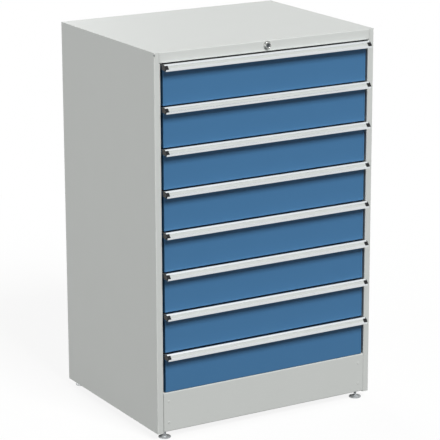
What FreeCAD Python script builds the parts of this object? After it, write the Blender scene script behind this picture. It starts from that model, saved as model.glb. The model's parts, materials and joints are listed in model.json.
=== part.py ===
import FreeCAD, Part
import math
import os

# A free-standing drawer cabinet of folded sheet steel: eight equal drawers on telescopic
# runners, a closed plinth, four levelling feet and one lock that holds all the drawers.
# Millimetres. +Z is up and the drawers face -Y. The origin is on the floor, in the middle
# of the rectangle that the cabinet covers with its handles.

# Driving dimensions
CABINET_WIDTH = 760.0
BODY_DEPTH = 593.0
BODY_HEIGHT = 1161.0
FLOOR_GAP = 21.0
DRAWER_COUNT = 8
DRAWER_PITCH = 125.0
PLINTH_ZONE = 125.0
DRAWER_TRAVEL = 520.0
HANDLE_REACH = 26.0
HANDLE_HEIGHT = 20.1

# Sheet and bends
SHEET = 1.5
BEND = 1.5
DRAWER_SHEET = 1.2
DRAWER_BEND = 1.0
OUTER_BEND = SHEET + BEND

# Places that the rest is worked out from
HALF_WIDTH = CABINET_WIDTH / 2
FRONT = HANDLE_REACH / 2 - BODY_DEPTH / 2
BACK = FRONT + BODY_DEPTH
BASE = FLOOR_GAP
TOP = BASE + BODY_HEIGHT

# Housing
POST_WIDTH = 21.0
POST_RETURN = 18.0
REAR_FOLD = 25.0
FLANGE = 16.5
POST_INNER = HALF_WIDTH - POST_WIDTH
WALL_INNER = HALF_WIDTH - SHEET
RELIEF_DEPTH = 3.5
RELIEF_HEIGHT = 6.0
FASCIA_BOTTOM = BASE + 1128.5
FASCIA_HALF = 363.5
FASCIA_LIP = 16.0
REAR_APRON = 18.0
FIT_GAP = 0.5
PLINTH_HALF = 358.6
PLINTH_BOTTOM = BASE + 2 * SHEET
PLINTH_TOP = BASE + 127.0
PLINTH_RETURN = 12.0
BASE_UPSTAND = 25.0
BASE_SETBACK = 8.0

# Uprights and runners, given for the right-hand side
UPRIGHT_FACE = 361.5
UPRIGHT_WIDTH = 40.0
UPRIGHT_SETBACK_FRONT = 24.0
UPRIGHT_SETBACK_REAR = 60.0
SLOT_HEIGHT = 20.0
SLOT_WIDTH = 8.0
SLOT_HEIGHT_IN_BAY = 90.0
RAIL_SHEET = 1.5
RAIL_LENGTH = DRAWER_TRAVEL + 20.0
CABINET_RAIL_SETBACK = 26.0
MIDDLE_RAIL_SETBACK = 24.0
DRAWER_RAIL_SETBACK = 20.0
RAIL_HEIGHT_IN_BAY = 60.0
CABINET_RAIL_HALF = 23.0
CABINET_RAIL_LIP_END = 20.0
CABINET_RAIL_INNER = 348.0
MIDDLE_RAIL_OUTER = 358.4
MIDDLE_RAIL_INNER = 346.4
MIDDLE_RAIL_HALF = 19.0
MIDDLE_RAIL_LIP_END = 16.0
DRAWER_RAIL_OUTER = 355.4
DRAWER_RAIL_HALF = 14.5

# Drawer
TRAY_HALF = 342.0
TRAY_FRONT = 16.0
TRAY_BACK = 556.0
TRAY_BOTTOM = 8.0
TRAY_TOP = 112.0
TRAY_RIM = 8.0
FACE_HALF = 351.5
FACE_DEPTH = TRAY_FRONT
FACE_BOTTOM = 3.0
FACE_TOP = 122.0
FACE_LIP_SIDE = 15.5
FACE_LIP_END = 17.0
HANDLE_TOP = 127.5
HANDLE_HALF = 354.5

# Drawn grip, its slanted label face and the black end caps
BROW_REACH = 13.0
BROW_ROUND = 1.0
BROW_FALL = 3.5
LABEL_FACE_ANGLE = 49.6
LABEL_WALL = 4.0
SEAT_DEPTH = 9.0
LEG_WALL = 1.8
LEG_DROP = 18.0
LEG_ROOT = 5.0
LIP_RISE = 5.9
LIP_WALL = 3.0
LIP_ROUND = 2.4
MOUTH_START = 6.6
MOUTH_END = 15.2
POCKET_START = 4.6
POCKET_END = 16.6
POCKET_MOUTH_DEPTH = 1.1
POCKET_DEPTH = 2.3
CAP_PLATE = 2.0
CAP_REACH = 21.0
CAP_TOP_REAR = 4.2
CAP_TOP_FRONT = 1.0
CAP_LABEL_END = 13.0
CAP_LOW_FRONT = 18.6
CAP_LOW_REAR = 16.0
CAP_INSET = 0.6
NOSE_LENGTH = 9.5
NOSE_PROUD = 1.0
NOSE_PLAY = 0.2
NOSE_LAP = 0.5
NOSE_START = 5.6
NOSE_END = 18.0

# Central lock
LOCK_HEIGHT = BASE + 1147.0
LOCK_RING_RADIUS = 10.5
LOCK_RING_THICK = 6.0
LOCK_BARREL_RADIUS = 8.0
LOCK_BARREL_LENGTH = 18.0
LOCK_NUT_FLATS = 22.0
LOCK_NUT_THICK = 4.0
PLUG_RADIUS = 6.0
PLUG_RECESS = 1.2
RUNNING_GAP = 0.05
KEYWAY_HEIGHT = 8.0
KEYWAY_WIDTH = 2.0
KEYWAY_DEPTH = 12.0
ROD_RADIUS = 4.0
CRANK_RADIUS = 8.5
CRANK_DISC_RADIUS = 11.6
CRANK_DISC_THICK = 4.0
CRANK_PIN_RADIUS = 2.5
CRANK_GAP = 2.0
PIN_PROUD = 2.0
PIN_PLAY = 0.5
BRACKET_AHEAD = 46.0
BRACKET_FLANGE = 26.0
BRACKET_DROP = 10.0
BRACKET_HALF = 14.0
BRACKET_SHEET = 2.0
BAR_FRONT = FRONT + 566.0
BAR_THICK = 3.0
BAR_HALF = 15.0
BAR_BOTTOM = BASE + 150.0
BAR_TOP = TOP - 14.5
TAB_WIDTH = 10.0
TAB_HEIGHT = 16.0
CATCH_LEFT = 17.5
CATCH_WIDTH = 22.0
CATCH_SHEET = 2.0
CATCH_HEIGHT_IN_BAY = 66.0
CATCH_FLANGE = 18.0
CATCH_DROP = 14.0
CATCH_PLAY = 2.5
TAB_TOP_IN_BAY = 47.5
BAR_PLAY = 0.4
GUIDE_SLOT_SPARE = 3.0
GUIDE_RADIUS = 4.0
GUIDE_FLATS = 13.0
GUIDE_HEAD = 4.0
GUIDE_HEIGHTS = (BASE + 290.0, BASE + 915.0)

# Levelling feet
FOOT_X = 345.0
FOOT_INSET = 22.0
FOOT_DISC_RADIUS = 19.0
FOOT_STEM_RADIUS = 4.0
FOOT_STEM_ABOVE = 24.0
FOOT_DISC_THICK = 2.6
FOOT_FLATS = 13.0
FOOT_HEX_TOP = 6.5
NUT_FLATS = 13.0
NUT_HEIGHT = 9.0

CRANK_SWING = 2 * CRANK_RADIUS * math.sin(math.radians(45))


def point(plane, a, b, along=0.0):
    """A point of a section drawn in the plane XY, YZ or XZ, set along the third axis."""
    if plane == "XY":
        return FreeCAD.Vector(a, b, along)
    if plane == "YZ":
        return FreeCAD.Vector(along, a, b)
    return FreeCAD.Vector(a, along, b)


def outline(plane, corners, along=0.0):
    """A closed wire through corners (a, b) or (a, b, radius), each radius a tangent arc."""
    entries = []
    count = len(corners)
    for i, corner in enumerate(corners):
        here = FreeCAD.Vector(corner[0], corner[1], 0)
        radius = corner[2] if len(corner) > 2 else 0.0
        before = FreeCAD.Vector(corners[i - 1][0], corners[i - 1][1], 0)
        after = FreeCAD.Vector(corners[(i + 1) % count][0], corners[(i + 1) % count][1], 0)
        to_before = (before - here).normalize()
        to_after = (after - here).normalize()
        half_angle = to_before.getAngle(to_after) / 2
        if radius <= 0 or abs(half_angle - math.pi / 2) < 1e-4:
            entries.append((here, None, here))
            continue
        reach = radius / math.tan(half_angle)
        middle_way = (to_before + to_after).normalize()
        middle = here + middle_way * (radius / math.sin(half_angle) - radius)
        entries.append((here + to_before * reach, middle, here + to_after * reach))
    edges = []
    for i, (start, middle, end) in enumerate(entries):
        start3 = point(plane, start.x, start.y, along)
        end3 = point(plane, end.x, end.y, along)
        if middle is not None:
            edges.append(Part.Arc(start3, point(plane, middle.x, middle.y, along), end3).toShape())
        following = entries[(i + 1) % count][0]
        next3 = point(plane, following.x, following.y, along)
        if (next3 - end3).Length > 1e-6:
            edges.append(Part.LineSegment(end3, next3).toShape())
    return Part.Wire(edges)


def extrusion(plane, corners, start, end):
    """A prism over a closed outline, from start to end along the plane's third axis."""
    face = Part.Face(outline(plane, corners, start))
    return face.extrude(point(plane, 0, 0, end - start))


def folded(plane, path, thickness, bend, start, end):
    """A sheet folded along an open path on its outer face, with the sheet on the path's left."""
    way = []
    for (a0, b0), (a1, b1) in zip(path, path[1:]):
        way.append(FreeCAD.Vector(a1 - a0, b1 - b0, 0).normalize())
    left = [FreeCAD.Vector(-w.y, w.x, 0) for w in way]
    near = []
    far = []
    for i, (a, b) in enumerate(path):
        here = FreeCAD.Vector(a, b, 0)
        if i == 0 or i == len(path) - 1:
            side = left[0] if i == 0 else left[-1]
            near.append((a, b))
            far.append((here.x + side.x * thickness, here.y + side.y * thickness))
            continue
        turn = way[i - 1].cross(way[i]).z
        mitre = (left[i - 1] + left[i]).normalize()
        stretch = thickness / mitre.dot(left[i])
        outer = bend + thickness if bend > 0 else 0.0
        outside = outer if turn > 0 else bend
        inside = bend if turn > 0 else outer
        near.append((a, b, outside))
        far.append((here.x + mitre.x * stretch, here.y + mitre.y * stretch, inside))
    return extrusion(plane, near + far[::-1], start, end)


def block(x0, x1, y0, y1, z0, z1):
    """A box between two corners."""
    corner = FreeCAD.Vector(min(x0, x1), min(y0, y1), min(z0, z1))
    return Part.makeBox(abs(x1 - x0), abs(y1 - y0), abs(z1 - z0), corner)


def rod_y(radius, x, z, y0, y1):
    """A cylinder that lies along Y."""
    return Part.makeCylinder(radius, y1 - y0, FreeCAD.Vector(x, y0, z), FreeCAD.Vector(0, 1, 0))


def rod_z(radius, x, y, z0, z1):
    """A cylinder that stands along Z."""
    return Part.makeCylinder(radius, z1 - z0, FreeCAD.Vector(x, y, z0))


def turned_y(corners, x, z):
    """A solid turned about a line along Y, from a section of (radius, y) corners."""
    section = [(radius, y) + tuple(rest) for radius, y, *rest in corners]
    face = Part.Face(outline("XY", section))
    solid = face.revolve(FreeCAD.Vector(0, 0, 0), FreeCAD.Vector(0, 1, 0), 360)
    solid.translate(FreeCAD.Vector(x, 0, z))
    return solid


def hexagon(flats, x, y, z0, z1):
    """A hexagonal bar that stands along Z, with two flats across X."""
    corner = flats / 2 / math.cos(math.radians(30))
    turns = [math.radians(30 + 60 * i) for i in range(6)]
    corners = [(x + corner * math.cos(t), y + corner * math.sin(t)) for t in turns]
    return extrusion("XY", corners, z0, z1)


def hexagon_y(flats, x, z, y0, y1):
    """A hexagonal bar that lies along Y, with a flat on top and one below."""
    corner = flats / 2 / math.cos(math.radians(30))
    turns = [math.radians(60 * i) for i in range(6)]
    corners = [(x + corner * math.cos(t), z + corner * math.sin(t)) for t in turns]
    return extrusion("XZ", corners, y0, y1)


def obround(plane, a, b, width, height, start, end):
    """A round-ended slot filler, width along the first axis of its plane and height the second."""
    radius = min(width, height) / 2
    hw = width / 2
    hh = height / 2
    round_by = radius - 1e-3
    corners = [(a - hw, b - hh, round_by), (a + hw, b - hh, round_by),
               (a + hw, b + hh, round_by), (a - hw, b + hh, round_by)]
    return extrusion(plane, corners, start, end)


def mirrored(shape):
    """The same piece on the left-hand side."""
    return shape.mirror(FreeCAD.Vector(0, 0, 0), FreeCAD.Vector(1, 0, 0))


def both_sides(shape):
    """A piece and its mirror image, as two solids."""
    return [shape, mirrored(shape)]


def bay_floor(number):
    """The height at which a drawer's bay begins. Drawer 1 is the top one."""
    return BASE + PLINTH_ZONE + DRAWER_PITCH * (DRAWER_COUNT - number)


def side_panel():
    """The right wall: one sheet folded round to the front post, the rear fold and two flanges."""
    flange_front = FRONT + POST_RETURN + 2
    flange_back = BACK - OUTER_BEND
    front_path = [(POST_INNER, FRONT + POST_RETURN), (POST_INNER, FRONT), (HALF_WIDTH, FRONT),
                  (HALF_WIDTH, flange_front)]
    front = folded("XY", front_path, SHEET, BEND, BASE, TOP - SHEET)
    rear_path = [(HALF_WIDTH, flange_back), (HALF_WIDTH, BACK), (HALF_WIDTH - REAR_FOLD, BACK)]
    rear = folded("XY", rear_path, SHEET, BEND, BASE, TOP - SHEET)
    inner = HALF_WIDTH - FLANGE
    wall_path = [(inner, BASE), (HALF_WIDTH, BASE), (HALF_WIDTH, TOP - SHEET), (inner, TOP - SHEET)]
    wall = folded("XZ", wall_path, SHEET, 0, flange_front, flange_back)
    wall = wall.fuse([front, rear]).removeSplitter()
    notch = block(POST_INNER - 1, FASCIA_HALF + FIT_GAP, FRONT - 1, FRONT + POST_RETURN + 1,
                  FASCIA_BOTTOM - FIT_GAP, TOP)
    relief_top = TOP - SHEET - RELIEF_DEPTH
    relief = block(HALF_WIDTH - RELIEF_DEPTH, HALF_WIDTH + 1, FRONT - 1, FRONT + RELIEF_DEPTH,
                   relief_top - RELIEF_HEIGHT, relief_top)
    return wall.cut([notch, relief])


def top_panel():
    """The top sheet, folded down in front as the fascia and behind as a short apron."""
    fascia_path = [(FRONT + FASCIA_LIP, FASCIA_BOTTOM), (FRONT, FASCIA_BOTTOM), (FRONT, TOP), (0, TOP)]
    fascia = folded("YZ", fascia_path[::-1], SHEET, BEND, -FASCIA_HALF, FASCIA_HALF)
    apron_path = [(BACK, TOP - REAR_APRON), (BACK, TOP), (0, TOP)]
    apron_half = HALF_WIDTH - REAR_FOLD - FIT_GAP
    apron = folded("YZ", apron_path, SHEET, 0, -apron_half, apron_half)
    sheet = block(-HALF_WIDTH, HALF_WIDTH, FRONT + OUTER_BEND, BACK - OUTER_BEND, TOP - SHEET, TOP)
    panel = sheet.fuse([fascia, apron])
    for side in (-1, 1):
        corner = block(side * FASCIA_HALF, side * HALF_WIDTH, FRONT + FIT_GAP, FRONT + OUTER_BEND,
                       TOP - SHEET, TOP)
        rear = block(side * apron_half, side * HALF_WIDTH, BACK - OUTER_BEND, BACK - FIT_GAP,
                     TOP - SHEET, TOP)
        panel = panel.fuse([corner, rear])
    panel = panel.removeSplitter()
    lock_hole = rod_y(LOCK_BARREL_RADIUS + RUNNING_GAP, 0, LOCK_HEIGHT, FRONT - 1, FRONT + 2 * SHEET)
    return panel.cut(lock_hole)


def back_panel():
    """The flat back sheet, behind which the side walls' rear folds close."""
    half = HALF_WIDTH - OUTER_BEND - FIT_GAP
    return block(-half, half, BACK - 2 * SHEET, BACK - SHEET, BASE + 2 * SHEET, TOP - 2 * SHEET)


def base_panel():
    """The bottom sheet, folded up along the back, with the feet's nuts welded on."""
    path = [(BACK - 2 * SHEET, BASE + BASE_UPSTAND), (BACK - 2 * SHEET, BASE + SHEET),
            (FRONT + BASE_SETBACK, BASE + SHEET)]
    half = HALF_WIDTH - OUTER_BEND - FIT_GAP
    sheet = folded("YZ", path[::-1], SHEET, 0, -half, half)
    clearance = block(POST_INNER - 1, HALF_WIDTH, FRONT, FRONT + POST_RETURN + 1, BASE, BASE + 3 * SHEET)
    sheet = sheet.cut([clearance, mirrored(clearance)])
    nuts = []
    bores = []
    low = BASE + 2 * SHEET
    for x, y in foot_places():
        nuts.append(hexagon(NUT_FLATS, x, y, low, low + NUT_HEIGHT))
        bores.append(rod_z(FOOT_STEM_RADIUS + RUNNING_GAP, x, y, BASE, low + NUT_HEIGHT + 1))
    return sheet.fuse(nuts).removeSplitter().cut(bores)


def plinth_panel():
    """The closed front below the drawers, a channel with folded ends."""
    path = [(FRONT + PLINTH_RETURN, PLINTH_TOP), (FRONT, PLINTH_TOP), (FRONT, PLINTH_BOTTOM),
            (FRONT + PLINTH_RETURN, PLINTH_BOTTOM)]
    channel = folded("YZ", path, SHEET, BEND, -PLINTH_HALF, PLINTH_HALF)
    end = block(PLINTH_HALF - SHEET, PLINTH_HALF, FRONT + SHEET, FRONT + PLINTH_RETURN,
                PLINTH_BOTTOM + SHEET, PLINTH_TOP - SHEET)
    return channel.fuse([end, mirrored(end)]).removeSplitter()


def upright(y0):
    """A channel that carries the runners of one side, with a slot for each runner's hook."""
    path = [(WALL_INNER, y0 + UPRIGHT_WIDTH), (UPRIGHT_FACE, y0 + UPRIGHT_WIDTH),
            (UPRIGHT_FACE, y0), (WALL_INNER, y0)]
    channel = folded("XY", path, SHEET, 0, BASE + 2 * SHEET, TOP - 2 * SHEET - BEND)
    middle = y0 + UPRIGHT_WIDTH / 2
    slots = []
    for number in range(1, DRAWER_COUNT + 1):
        low = bay_floor(number) + SLOT_HEIGHT_IN_BAY
        slots.append(block(UPRIGHT_FACE - 1, UPRIGHT_FACE + SHEET + 1, middle - SLOT_WIDTH / 2,
                           middle + SLOT_WIDTH / 2, low, low + SLOT_HEIGHT))
    return channel.cut(slots)


def uprights():
    """The four slotted channels, front and rear on both sides."""
    front = upright(FRONT + UPRIGHT_SETBACK_FRONT)
    rear = upright(BACK - UPRIGHT_SETBACK_REAR - UPRIGHT_WIDTH)
    return both_sides(front) + both_sides(rear)


def cabinet_rails():
    """The fixed outer members of the runners, open towards the drawers."""
    rails = []
    for number in range(1, DRAWER_COUNT + 1):
        z = bay_floor(number) + RAIL_HEIGHT_IN_BAY
        high = z + CABINET_RAIL_HALF
        low = z - CABINET_RAIL_HALF
        path = [(CABINET_RAIL_INNER, z + CABINET_RAIL_LIP_END), (CABINET_RAIL_INNER, high),
                (UPRIGHT_FACE, high), (UPRIGHT_FACE, low), (CABINET_RAIL_INNER, low),
                (CABINET_RAIL_INNER, z - CABINET_RAIL_LIP_END)]
        start = FRONT + CABINET_RAIL_SETBACK
        rail = folded("XZ", path[::-1], RAIL_SHEET, 0, start, start + RAIL_LENGTH)
        rails += both_sides(rail)
    return rails


def middle_rails(number):
    """The pair of intermediate members of one drawer's runners."""
    z = bay_floor(number) + RAIL_HEIGHT_IN_BAY
    high = z + MIDDLE_RAIL_HALF
    low = z - MIDDLE_RAIL_HALF
    path = [(MIDDLE_RAIL_INNER, z + MIDDLE_RAIL_LIP_END), (MIDDLE_RAIL_INNER, high),
            (MIDDLE_RAIL_OUTER, high), (MIDDLE_RAIL_OUTER, low), (MIDDLE_RAIL_INNER, low),
            (MIDDLE_RAIL_INNER, z - MIDDLE_RAIL_LIP_END)]
    start = FRONT + MIDDLE_RAIL_SETBACK
    rail = folded("XZ", path[::-1], RAIL_SHEET, 0, start, start + RAIL_LENGTH)
    return both_sides(rail)


def drawer_box(number):
    """The open tray of one drawer, with its runner members and the catch for the lock."""
    floor = bay_floor(number)
    low = floor + TRAY_BOTTOM
    high = floor + TRAY_TOP
    y0 = FRONT + FACE_DEPTH
    y1 = FRONT + TRAY_BACK
    section = [(TRAY_HALF, low), (TRAY_HALF, high), (TRAY_HALF + TRAY_RIM, high)]
    side = folded("XZ", section, DRAWER_SHEET, 0, y0, y1)
    inner = TRAY_HALF - DRAWER_SHEET
    bottom = block(-inner, inner, y0, y1, low, low + DRAWER_SHEET)
    front_wall = block(-inner, inner, y0, y0 + DRAWER_SHEET, low + DRAWER_SHEET, high)
    rear_wall = block(-inner, inner, y1 - DRAWER_SHEET, y1, low + DRAWER_SHEET, high)
    z = floor + RAIL_HEIGHT_IN_BAY
    path = [(DRAWER_RAIL_OUTER, z + DRAWER_RAIL_HALF), (TRAY_HALF, z + DRAWER_RAIL_HALF),
            (TRAY_HALF, z - DRAWER_RAIL_HALF), (DRAWER_RAIL_OUTER, z - DRAWER_RAIL_HALF)]
    rail = folded("XZ", path, RAIL_SHEET, 0, FRONT + DRAWER_RAIL_SETBACK, y1)
    tray = both_sides(side) + [bottom, front_wall, rear_wall]
    return tray + both_sides(rail) + drawer_catch(floor, y1)


def drawer_catch(floor, wall):
    """The angle on the tray's rear wall, and its hook that the locking bar's tab rises behind."""
    low = floor + CATCH_HEIGHT_IN_BAY
    hook = BAR_FRONT + BAR_THICK + CATCH_PLAY
    path = [(hook + CATCH_SHEET, low), (wall, low), (wall, low + CATCH_FLANGE)]
    angle = folded("YZ", path[::-1], CATCH_SHEET, 0, CATCH_LEFT, CATCH_LEFT + CATCH_WIDTH)
    lip = block(CATCH_LEFT, CATCH_LEFT + CATCH_WIDTH, hook, hook + CATCH_SHEET, low - CATCH_DROP, low)
    return [angle, lip]


def drawer_front(number):
    """The visible front, a shallow pan with lips that are screwed to the tray."""
    floor = bay_floor(number)
    low = floor + FACE_BOTTOM
    high = floor + FACE_TOP
    pan = block(-FACE_HALF, FACE_HALF, FRONT, FRONT + FACE_DEPTH, low, high)
    rounded = [edge for edge in pan.Edges if edge.BoundBox.YMax < FRONT + 0.01]
    pan = pan.makeFillet(DRAWER_SHEET + DRAWER_BEND, rounded)
    hollow = block(-FACE_HALF + DRAWER_SHEET, FACE_HALF - DRAWER_SHEET, FRONT + DRAWER_SHEET,
                   FRONT + FACE_DEPTH - DRAWER_SHEET, low + DRAWER_SHEET, high - DRAWER_SHEET)
    window = block(-FACE_HALF + FACE_LIP_SIDE, FACE_HALF - FACE_LIP_SIDE, FRONT + FACE_DEPTH / 2,
                   FRONT + FACE_DEPTH + 1, low + FACE_LIP_END, high - FACE_LIP_END)
    return pan.cut([hollow, window])


def on_label_face(top, down, behind):
    """A point given by its way down the slanted label face and its depth behind that face."""
    slope = math.radians(LABEL_FACE_ANGLE)
    y = FRONT - BROW_REACH - down * math.cos(slope) + behind * math.sin(slope)
    z = top - down * math.sin(slope) - behind * math.cos(slope)
    return (y, z)


def grip_section(top):
    """The drawn profile: mounting leg, top wall, slanted face with its label pocket, lower lip."""
    low = top - HANDLE_HEIGHT
    seat = top - HANDLE_TOP + FACE_TOP
    leg = [(FRONT + SEAT_DEPTH, top - BROW_FALL), (FRONT + SEAT_DEPTH, seat), (FRONT, seat),
           (FRONT, top - LEG_DROP), (FRONT - LEG_WALL, top - LEG_DROP), (FRONT - LEG_WALL, top - LEG_ROOT)]
    inside = [on_label_face(top, 0, LABEL_WALL), on_label_face(top, POCKET_END, LABEL_WALL),
              (FRONT - HANDLE_REACH + LIP_WALL, low)]
    lip = [(FRONT - HANDLE_REACH, low, LIP_ROUND), (FRONT - HANDLE_REACH, low + LIP_RISE)]
    places = [(MOUTH_END, 0), (MOUTH_END, POCKET_MOUTH_DEPTH), (POCKET_END, POCKET_MOUTH_DEPTH),
              (POCKET_END, POCKET_DEPTH), (POCKET_START, POCKET_DEPTH),
              (POCKET_START, POCKET_MOUTH_DEPTH), (MOUTH_START, POCKET_MOUTH_DEPTH), (MOUTH_START, 0)]
    pocket = [on_label_face(top, down, behind) for down, behind in places]
    return leg + inside + lip + pocket + [(FRONT - BROW_REACH, top, BROW_ROUND)]


def drawer_handle(number):
    """The aluminium grip along the front's upper edge."""
    top = bay_floor(number) + HANDLE_TOP
    return extrusion("YZ", grip_section(top), -HANDLE_HALF, HANDLE_HALF)


def cap_nose(top):
    """The cap's raised nose, which closes the label pocket and laps over the lip below it."""
    start = MOUTH_START + NOSE_PLAY
    end = MOUTH_END - NOSE_PLAY
    tail = POCKET_DEPTH - NOSE_PLAY
    lift = NOSE_PLAY / 2
    places = [(NOSE_START, -lift), (NOSE_START, -NOSE_PROUD), (MOUTH_END, -NOSE_PROUD),
              (NOSE_END, -NOSE_PROUD - NOSE_LAP), (NOSE_END, -NOSE_LAP - lift), (MOUTH_END, -lift),
              (end, 0), (end, tail), (start, tail), (start, -lift)]
    section = [on_label_face(top, down, behind) for down, behind in places]
    return extrusion("YZ", section, HANDLE_HALF - NOSE_LENGTH, HANDLE_HALF + CAP_PLATE)


def drawer_end_caps(number):
    """The two moulded ends of the grip, each a closing plate with its nose."""
    top = bay_floor(number) + HANDLE_TOP
    corners = [(FRONT - FIT_GAP, top - CAP_TOP_REAR), on_label_face(top, CAP_TOP_FRONT, CAP_INSET),
               on_label_face(top, CAP_LABEL_END, CAP_INSET), (FRONT - CAP_REACH, top - CAP_LOW_FRONT),
               (FRONT - FIT_GAP, top - CAP_LOW_REAR)]
    plate = extrusion("YZ", corners, HANDLE_HALF, HANDLE_HALF + CAP_PLATE)
    return both_sides(plate.fuse(cap_nose(top)).removeSplitter())


def lock_housing():
    """The lock's outer barrel with its front ring, bored for the plug."""
    y0 = FRONT - LOCK_RING_THICK
    y1 = FRONT + LOCK_BARREL_LENGTH
    bore = PLUG_RADIUS + RUNNING_GAP
    section = [(bore, y0), (LOCK_RING_RADIUS, y0), (LOCK_RING_RADIUS, FRONT), (LOCK_BARREL_RADIUS, FRONT),
               (LOCK_BARREL_RADIUS, y1), (bore, y1)]
    return turned_y(section, 0, LOCK_HEIGHT)


def lock_nut():
    """The nut that clamps the lock's barrel behind the fascia."""
    y0 = FRONT + SHEET
    nut = hexagon_y(LOCK_NUT_FLATS, 0, LOCK_HEIGHT, y0, y0 + LOCK_NUT_THICK)
    return nut.cut(rod_y(LOCK_BARREL_RADIUS + RUNNING_GAP, 0, LOCK_HEIGHT, y0 - 1, y0 + LOCK_NUT_THICK + 1))


def lock_plug():
    """The plug that the key turns, with its keyway."""
    y0 = FRONT - LOCK_RING_THICK + PLUG_RECESS
    y1 = FRONT + LOCK_BARREL_LENGTH + PLUG_RECESS
    plug = rod_y(PLUG_RADIUS, 0, LOCK_HEIGHT, y0, y1)
    keyway = block(-KEYWAY_WIDTH / 2, KEYWAY_WIDTH / 2, y0 - 1, y0 + KEYWAY_DEPTH,
                   LOCK_HEIGHT - KEYWAY_HEIGHT / 2, LOCK_HEIGHT + KEYWAY_HEIGHT / 2)
    return plug.cut(keyway)


def lock_rod():
    """The rod from the plug to the back, ending in a crank disc with its pin."""
    y0 = FRONT + LOCK_BARREL_LENGTH + PLUG_RECESS
    disc_back = BAR_FRONT - CRANK_GAP
    disc_front = disc_back - CRANK_DISC_THICK
    rod = rod_y(ROD_RADIUS, 0, LOCK_HEIGHT, y0, disc_front + 1)
    disc = rod_y(CRANK_DISC_RADIUS, 0, LOCK_HEIGHT, disc_front, disc_back)
    offset = CRANK_SWING / 2
    pin = rod_y(CRANK_PIN_RADIUS, -offset, LOCK_HEIGHT - offset, disc_back - 1,
                BAR_FRONT + BAR_THICK + PIN_PROUD)
    return rod.fuse([disc, pin]).removeSplitter()


def rod_bracket():
    """The angle under the top sheet that carries the rod's rear end."""
    y0 = BAR_FRONT - BRACKET_AHEAD
    high = TOP - SHEET
    path = [(y0, LOCK_HEIGHT - BRACKET_DROP), (y0, high), (y0 + BRACKET_FLANGE, high)]
    angle = folded("YZ", path[::-1], BRACKET_SHEET, 0, -BRACKET_HALF, BRACKET_HALF)
    bore = rod_y(ROD_RADIUS + RUNNING_GAP, 0, LOCK_HEIGHT, y0 - BRACKET_SHEET, y0 + 2 * BRACKET_SHEET)
    return angle.cut(bore)


def locking_bar():
    """The flat bar behind the drawers, slotted for its guides and the crank, with its tabs."""
    strip = block(-BAR_HALF, BAR_HALF, BAR_FRONT, BAR_FRONT + BAR_THICK, BAR_BOTTOM, BAR_TOP)
    y0 = BAR_FRONT - 1
    y1 = BAR_FRONT + BAR_THICK + 1
    cuts = []
    guide_slot = 2 * GUIDE_RADIUS + CRANK_SWING + GUIDE_SLOT_SPARE
    for z in GUIDE_HEIGHTS:
        slot_z = z - CRANK_SWING / 2
        cuts.append(obround("XZ", 0, slot_z, 2 * (GUIDE_RADIUS + RUNNING_GAP), guide_slot, y0, y1))
    near_x = -CRANK_SWING / 2 + CRANK_PIN_RADIUS + PIN_PLAY
    far_x = -CRANK_RADIUS - CRANK_PIN_RADIUS - PIN_PLAY
    rest_z = LOCK_HEIGHT - CRANK_SWING / 2
    pin_room = CRANK_PIN_RADIUS + PIN_PLAY
    cuts.append(block(far_x, near_x, y0, y1, rest_z - pin_room, rest_z + pin_room))
    tabs = []
    for number in range(1, DRAWER_COUNT + 1):
        tab_top = bay_floor(number) + TAB_TOP_IN_BAY
        tabs.append(block(BAR_HALF, BAR_HALF + TAB_WIDTH, BAR_FRONT, BAR_FRONT + BAR_THICK,
                          tab_top - TAB_HEIGHT, tab_top))
    return [strip.cut(cuts)] + tabs


def bar_guide_studs():
    """The studs on the back sheet, hexagonal with a round neck, on which the bar slides."""
    studs = []
    behind = BAR_FRONT + BAR_THICK + BAR_PLAY
    ahead = BAR_FRONT - BAR_PLAY
    for z in GUIDE_HEIGHTS:
        head = hexagon_y(GUIDE_FLATS, 0, z, ahead - GUIDE_HEAD, ahead)
        neck = rod_y(GUIDE_RADIUS, 0, z, ahead, behind)
        spacer = hexagon_y(GUIDE_FLATS, 0, z, behind, BACK - 2 * SHEET)
        studs.append(head.fuse([neck, spacer]))
    return studs


def foot_places():
    """Where the feet stand, front pair first."""
    return [(-FOOT_X, FRONT + FOOT_INSET), (FOOT_X, FRONT + FOOT_INSET),
            (-FOOT_X, BACK - FOOT_INSET), (FOOT_X, BACK - FOOT_INSET)]


def levelling_foot(x, y):
    """A foot: a disc on the floor, the hexagon that turns it, and the stem up through its nut."""
    disc = rod_z(FOOT_DISC_RADIUS, x, y, 0, FOOT_DISC_THICK)
    turner = hexagon(FOOT_FLATS, x, y, FOOT_DISC_THICK, FOOT_HEX_TOP)
    stem = rod_z(FOOT_STEM_RADIUS, x, y, FOOT_HEX_TOP, BASE + 2 * SHEET + FOOT_STEM_ABOVE)
    return disc.fuse([turner, stem])


def write(name, solids):
    """One file for one named piece, or for one group of alike pieces."""
    solids = solids if isinstance(solids, list) else [solids]
    shape = solids[0] if len(solids) == 1 else Part.makeCompound(solids)
    shape.exportStep("parts/" + name + ".step")
    bad = [solid for solid in shape.Solids if not solid.isValid()]
    print(name, len(shape.Solids), "solid(s)", round(shape.Volume / 1000, 1), "cm3", "BAD" if bad else "")


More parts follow.
